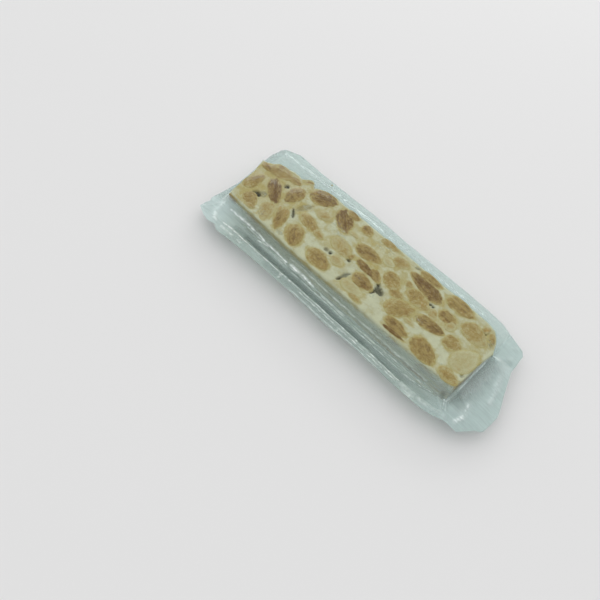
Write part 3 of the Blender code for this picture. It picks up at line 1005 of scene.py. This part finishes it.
class Pouch:
    """Where the film lies: its flat lay-out, the seam's outline and the creases."""

    def __init__(self, slab, sizes):
        self.slab = slab
        self.thickness = sizes.thickness / MM
        self.clearance = sizes.clearance / MM
        self.seam = sizes.seam_height / MM
        self.creases = [Line(row, 3) for row in CREASES]
        self.painted_shades = [Line(row, 2) for row in PAINTED_SHADES]

    def side_seam(self, x, sign):
        return smooth_along(FRONT_SEAM if sign < 0 else BACK_SEAM, x)

    def end_seam(self, y, sign):
        return smooth_along(FAR_SEAM if sign < 0 else NEAR_SEAM, y)

    def plan(self, u, a, v, b):
        """Plan position of the film for a place (u, v) on the slab's rim and shares a, b out."""
        end, side = math.copysign(1, u), math.copysign(1, v)
        corner = self.slab.outline(u, v)
        if not a and not b:
            return corner
        tip_x = (NEAR_SEAM if end > 0 else FAR_SEAM)[0 if side < 0 else -1][1]
        tip = Vector((tip_x, (FRONT_SEAM if side < 0 else BACK_SEAM)[0 if end < 0 else -1][1]))
        end_point = Vector((self.end_seam(corner.y, end), corner.y))
        side_point = Vector((corner.x, self.side_seam(corner.x, side)))
        x = corner.x + (tip.x - corner.x) * a
        y = corner.y + (tip.y - corner.y) * b
        along_side = Vector((x, self.side_seam(x, side)))
        along_end = Vector((self.end_seam(y, end), y))
        beside, ahead = corner.lerp(end_point, a), corner.lerp(side_point, b)
        joined = beside * (1 - b) + along_side * b + ahead * (1 - a) + along_end * a
        tied = corner * (1 - a) * (1 - b) + end_point * a * (1 - b) + side_point * (1 - a) * b + tip * a * b
        return joined - tied

    def wall(self, corner, a, spot):
        """1 at the slab's edge, falling to 0 where the flat seam starts."""
        near = corner.x > 0
        past_end, past_side = abs(spot.x - corner.x), abs(spot.y - corner.y)
        close = ease(self.slab.half.x - 16, self.slab.half.x, abs(corner.x))
        root_end = 17.0 if near else 6.5
        root_side = 3.2 + 3.0 * close + (6.0 if near else 1.8) * a
        out = math.hypot(past_end / root_end, past_side / root_side)
        hollow = 3.0 if a > 0 and not near else 2.1
        return clamp(1 - out, 0.0, 1.0) ** hollow

    def folds(self, spot, wall):
        """(height, painted highlight) of the creases and waves at a place; they run straight on the wall.
        """
        loose = 1 - ease(0.1, 0.5, wall)
        shake = Vector([wander((*spot, 0.0), 5.0, seed) for seed in (1.0, 2.0)])
        shaken = spot + 0.25 * loose * shake
        shaken.y += 0.16 * loose * wander((*spot, 0.0), 1.7, 7.0)
        height = 0.7 * wander((*spot, 0.0), 26.0, 1.0) + 0.25 * wander((*spot, 0.0), 7.0, 2.0)
        painted_highlight = 0.0
        for crease in self.creases:
            share = crease.share(shaken)
            if share > 0.002:
                lift, _, highlight_strength = crease.values
                strength = 0.85 + 0.7 * wander((*spot, crease.half), 4.0, 5.0)
                height += lift * share * strength
                painted_highlight = max(painted_highlight, highlight_strength * share * strength)
        return height, painted_highlight

    def droop(self, corner, a, spot):
        """How far the end flaps hang below the rest of the seam."""
        return (2.4 + 0.6 * ease(-20.0, 20.0, spot.y) if corner.x < 0 else 1.4) * a * a

    def painted_near_shade(self, spot):
        """Painted shade in the tent beside the slab's near end, where the slab's shadow falls, fading
        outwards.
        """
        middle = ease(-27.0, -18.0, spot.y) * (1 - ease(4.0, 15.0, spot.y))
        return 0.72 * middle * ease(84.6, 86.0, spot.x) * (1 - ease(86.0, 97.0, spot.x))

    def haze(self, spot, wall):
        """Milkiness of plain slack film: most at the ends and on the front side."""
        front = ease(20.0, 26.0, -spot.y)
        near = ease(82.0, 88.0, spot.x)
        far = 1 - ease(-82.0, -58.0, spot.x)
        level = 0.16 + 0.08 * front * (1 - near) + 0.46 * far * front
        level += 0.14 * front * ease(0.0, 0.3, wall) * ease(-20.0, 40.0, spot.x) * (1 - near)
        level = max(level, 0.45 * near, 0.30 * (1 - ease(-90.0, -84.0, spot.x)))
        level *= 1 + 0.15 * wander((spot.x * 0.1, spot.y, 0.0), 3.0, 6.0)
        clear = ease(-20.0, 40.0, spot.x)
        tight = ease(0.46 + 0.30 * clear, 0.82 + 0.12 * clear, wall)
        return level * (1 - tight * (1 - ease(83.0, 84.6, spot.x)))


FILM_LOOKS = ("milk", "painted_highlight", "shade", "warm", "slack", "air")


def film_grid(pouch):
    """A flat sheet cut into cells. Returns (mesh, lines along X, lines along Y, vertices)."""
    xs = sheet_lines(pouch.slab.half.x)
    ys = sheet_lines(pouch.slab.half.y)
    bm = bmesh.new()
    for name in FILM_LOOKS:
        bm.verts.layers.float.new(name)
    bmesh.ops.create_grid(bm, x_segments=len(xs) - 1, y_segments=len(ys) - 1, size=1.0)
    spots = {}
    for v in bm.verts:
        i = round((v.co.x + 1) / 2 * (len(xs) - 1))
        j = round((v.co.y + 1) / 2 * (len(ys) - 1))
        spots[i, j] = v
    return bm, xs, ys, spots


def contents_tree(pieces):
    """A search tree of the slab and its nuts, in millimetres."""
    places, faces = [], []
    for piece in pieces:
        start = len(places)
        places += [(v.co - MIDDLE) / MM for v in piece.data.vertices]
        faces += [[start + i for i in p.vertices] for p in piece.data.polygons]
    return BVHTree.FromPolygons(places, faces)


def tight_heights(plans, tree, slab, side, gap):
    """Film heights over a face of the slab: taut across hollows, resting on what stands out."""
    rest = np.full((len(plans), len(plans[0])), slab.top if side > 0 else slab.base)
    start = slab.top + 20 if side > 0 else slab.base - 20
    for i, column in enumerate(plans):
        for j, spot in enumerate(column):
            hit = tree.ray_cast(Vector((spot.x, spot.y, start)), Vector((0, 0, -side)))[0]
            if hit:
                rest[i, j] = hit.z
    rest = rest * side + gap
    taut = rest.copy()
    for _ in range(SETTLING_PASSES):
        padded = np.pad(taut, 1, mode="edge")
        around = (padded[:-2, 1:-1] + padded[2:, 1:-1] + padded[1:-1, :-2] + padded[1:-1, 2:]) / 4
        taut = np.maximum(rest, around)
    return taut * side


def lay_flap(pouch, vert, layers, line, rim, side):
    """Puts a vertex of the film that lies outside the slab in its place."""
    (u, a), (v, b) = line
    corner = pouch.slab.outline(u, v)
    spot = pouch.plan(u, a, v, b)
    wall = pouch.wall(corner, a, spot)
    height, painted_highlight = pouch.folds(spot, wall)
    root = ease(0.0, 0.12, max(a, b))
    seam = pouch.seam + height * root - pouch.droop(corner, a, spot)
    seam = max(seam, 0.8) + side * (pouch.thickness / 2 + 0.02)
    z = seam + (rim - seam) * wall
    vert.co = (spot.x, spot.y, z)
    vert[layers["slack"]] = 1 - ease(0.45, 0.85, wall)
    haze = pouch.haze(spot, wall)
    if side < 0:
        vert[layers["milk"]] = 0.5 * haze
        return
    # Painted shade: beside the near end and along the dark lines where the film lies double.
    shade = max(pouch.painted_near_shade(spot), *(line.values[0] * line.share(spot, 4) for line in pouch.painted_shades))
    vert[layers["shade"]] = shade
    beside = ease(-82.0, -60.0, spot.x) * (1 - ease(68.0, 84.0, spot.x)) * ease(20.0, 26.0, -spot.y)
    vert[layers["warm"]] = beside * (0.4 + 0.6 * ease(0.0, 0.4, wall))
    # The painted shade dims the milk as well.
    vert[layers["milk"]] = haze * (1 - 0.75 * shade)
    # Painted highlight along the creases.
    vert[layers["painted_highlight"]] = clamp(painted_highlight, 0.0, 1.0)


def add_film(name, pouch, tree, side, material):
    """One film of the pouch: side 1 is the upper film, -1 the lower."""
    bm, xs, ys, spots = film_grid(pouch)
    layers = {name: bm.verts.layers.float[name] for name in FILM_LOOKS}
    last_i, last_j = len(xs) - 1 - FLAP_CELLS, len(ys) - 1 - FLAP_CELLS
    inner_x, inner_y = xs[FLAP_CELLS:last_i + 1], ys[FLAP_CELLS:last_j + 1]
    plans = [[pouch.slab.outline(u, v) for v, _ in inner_y] for u, _ in inner_x]
    taut = tight_heights(plans, tree, pouch.slab, side, pouch.clearance)
    lowest = pouch.thickness + 0.02
    for (i, j), vert in spots.items():
        inner_i = clamp(i, FLAP_CELLS, last_i) - FLAP_CELLS
        inner_j = clamp(j, FLAP_CELLS, last_j) - FLAP_CELLS
        rim = taut[inner_i, inner_j] if side > 0 else lowest
        if xs[i][1] or ys[j][1]:
            lay_flap(pouch, vert, layers, (xs[i], ys[j]), rim, side)
            continue
        spot = plans[inner_i][inner_j]
        vert.co = (spot.x, spot.y, rim)
        if side > 0:
            outs = (oval_share(spot.x, spot.y, oval) for oval in AIR_POCKETS)
            vert[layers["air"]] = max(1 - ease(0.3, 1.0, out) for out in outs)
    if side < 0:
        bmesh.ops.reverse_faces(bm, faces=bm.faces)
    bm.normal_update()
    bmesh.ops.solidify(bm, geom=bm.faces[:], thickness=pouch.thickness)
    bmesh.ops.recalc_face_normals(bm, faces=bm.faces)
    piece = finish_piece(name, bm, material)
    piece.data.set_sharp_from_angle(angle=math.radians(50))
    return piece


# ---------------------------------------------------------------------------------------------
# Crumbs


def add_crumbs(material):
    """Flecks of nougat caught between the films."""
    bm = bmesh.new()
    bm.verts.layers.float.new("painted_shade")
    stain = bm.verts.layers.float.new("stain")
    rng = random.Random(7)
    crumbs = [(-51.0, 34.6, 9.5, 0.45), (-47.5, 30.4, 9.5, 0.25)]
    ranges = ((-80, -58), (17.5, 21.5), (1, 6), (0.3, 0.9))
    crumbs += [[rng.uniform(*limits) for limits in ranges] for _ in range(14)]
    for x, y, z, radius in crumbs:
        made = bmesh.ops.create_icosphere(bm, subdivisions=2, radius=radius)["verts"]
        for v in made:
            v.co *= 1 + 0.5 * wander(v.co + Vector((x, y, z)), radius * 1.5)
            v.co += Vector((x, y, z))
            v[stain] = 0.9
    return finish_piece("nougat_crumbs", bm, material)


# ---------------------------------------------------------------------------------------------
# Operators


class NOUGAT_OT_slab(Operator):
    """Adds the slab of nougat"""

    bl_idname = "nougat.slab"
    bl_label = "Add Slab"

    def execute(self, context):
        sizes = context.scene.nougat_slab
        add_nougat(Slab(sizes), nougat_material(sizes))
        return {"FINISHED"}


class NOUGAT_OT_nuts(Operator):
    """Adds the almonds set into the slab"""

    bl_idname = "nougat.nuts"
    bl_label = "Add Almonds"

    def execute(self, context):
        looks = context.scene.nougat_nuts
        add_nuts(Slab(context.scene.nougat_slab), looks.rise / MM, nut_material(looks))
        return {"FINISHED"}


class NOUGAT_OT_crumbs(Operator):
    """Adds the loose crumbs in the pouch"""

    bl_idname = "nougat.crumbs"
    bl_label = "Add Crumbs"

    def execute(self, context):
        add_crumbs(bpy.data.materials["nougat"])
        return {"FINISHED"}


class NOUGAT_OT_film(Operator):
    """Adds the two films of the pouch, drawn tight over the slab and its almonds"""

    bl_idname = "nougat.film"
    bl_label = "Add Film"

    def execute(self, context):
        sizes = context.scene.nougat_film
        pouch = Pouch(Slab(context.scene.nougat_slab), sizes)
        names = ("nougat_slab", "tan_almonds", "brown_almonds", "dark_almonds", "pale_almonds")
        tree = contents_tree([bpy.data.objects[name] for name in names])
        material = film_material(sizes)
        add_film("upper_film", pouch, tree, 1, material)
        add_film("lower_film", pouch, tree, -1, material)
        return {"FINISHED"}


class NOUGAT_OT_stage(Operator):
    """Adds the floor, the lamps, the room and the camera"""

    bl_idname = "nougat.stage"
    bl_label = "Add Stage"

    def execute(self, context):
        settings = context.scene.nougat_stage
        add_floor(settings)
        add_lamp("strip_lamp", STRIP_PLACE, STRIP_SIZE, settings.strip)
        add_room(context.scene, settings.sky)
        add_camera(context.scene)
        return {"FINISHED"}


def add_floor(settings):
    bm = bmesh.new()
    bmesh.ops.create_grid(bm, x_segments=1, y_segments=1, size=FLOOR_HALF)
    bmesh.ops.translate(bm, vec=(0.0, 0.0, POUCH_LOW[2] - FLOOR_GAP), verts=bm.verts)
    mesh = bpy.data.meshes.new("floor")
    bm.to_mesh(mesh)
    bm.free()
    mesh.materials.append(floor_material(settings))
    floor = bpy.data.objects.new("floor", mesh)
    bpy.context.scene.collection.objects.link(floor)


def add_lamp(name, place, size, power):
    """A rectangular soft lamp that looks at the bar."""
    light = bpy.data.lights.new(name, "AREA")
    light.shape = "RECTANGLE"
    light.size, light.size_y = size
    light.energy = power
    lamp = bpy.data.objects.new(name, light)
    lamp.location = place
    lamp.rotation_euler = Vector(place).to_track_quat("Z", "Y").to_euler()
    bpy.context.scene.collection.objects.link(lamp)


def add_room(scene, brightness):
    """Light from all round, brightest above the far end and the back."""
    world = bpy.data.worlds.new("studio")
    world.use_nodes = True
    tree = world.node_tree
    background = tree.nodes["Background"]
    background.inputs["Color"].default_value = (1.0, 1.0, 1.0, 1.0)
    way = tree.nodes.new("ShaderNodeTexCoord")
    facing = tree.nodes.new("ShaderNodeVectorMath")
    facing.operation = "DOT_PRODUCT"
    tree.links.new(way.outputs["Generated"], facing.inputs[0])
    facing.inputs[1].default_value = Vector(BRIGHT_SIDE).normalized()
    glow = spread(tree, facing.outputs["Value"], -0.7, 1.0, 0.55 * brightness, 1.15 * brightness)
    tree.links.new(glow, background.inputs["Strength"])
    scene.world = world


def add_camera(scene):
    """The camera looks down on the bar from its front and near end."""
    turn = Matrix((CAMERA_RIGHT, CAMERA_UP, CAMERA_BACK)).transposed().to_4x4()
    data = bpy.data.cameras.new("camera")
    data.sensor_width = 36.0
    data.lens = 34.99
    data.clip_start = 0.01
    camera = bpy.data.objects.new("camera", data)
    camera.matrix_world = Matrix.Translation(Vector(CAMERA_PLACE) * MM + MIDDLE) @ turn
    scene.collection.objects.link(camera)
    scene.camera = camera
    scene.view_settings.view_transform = "Standard"
    scene.cycles.transparent_max_bounces = 32


class NOUGAT_PT_panel(Panel):
    """Lists the sizes and looks, and a button for each piece"""

    bl_label = "Nougat Bar"
    bl_idname = "NOUGAT_PT_panel"
    bl_space_type = "VIEW_3D"
    bl_region_type = "UI"
    bl_category = "Nougat"

    def draw(self, context):
        for owner in GROUPS:
            settings = getattr(context.scene, owner)
            box = self.layout.box()
            for name in settings.__annotations__:
                box.prop(settings, name)
        for operator in OPERATORS:
            self.layout.operator(operator.bl_idname)


GROUPS = {
    "nougat_slab": NougatSlabSizes,
    "nougat_nuts": NougatNutLooks,
    "nougat_film": NougatFilmSizes,
    "nougat_stage": NougatStageSettings,
}
OPERATORS = (NOUGAT_OT_slab, NOUGAT_OT_nuts, NOUGAT_OT_crumbs, NOUGAT_OT_film, NOUGAT_OT_stage)


def register():
    for kind in (*GROUPS.values(), *OPERATORS, NOUGAT_PT_panel):
        bpy.utils.register_class(kind)
    for name, kind in GROUPS.items():
        setattr(bpy.types.Scene, name, PointerProperty(type=kind))


def unregister():
    for name in GROUPS:
        delattr(bpy.types.Scene, name)
    for kind in reversed((*GROUPS.values(), *OPERATORS, NOUGAT_PT_panel)):
        bpy.utils.unregister_class(kind)


def main():
    register()
    bpy.ops.nougat.stage()
    bpy.ops.nougat.slab()
    bpy.ops.nougat.nuts()
    bpy.ops.nougat.crumbs()
    bpy.ops.nougat.film()


if __name__ == "__main__":
    main()
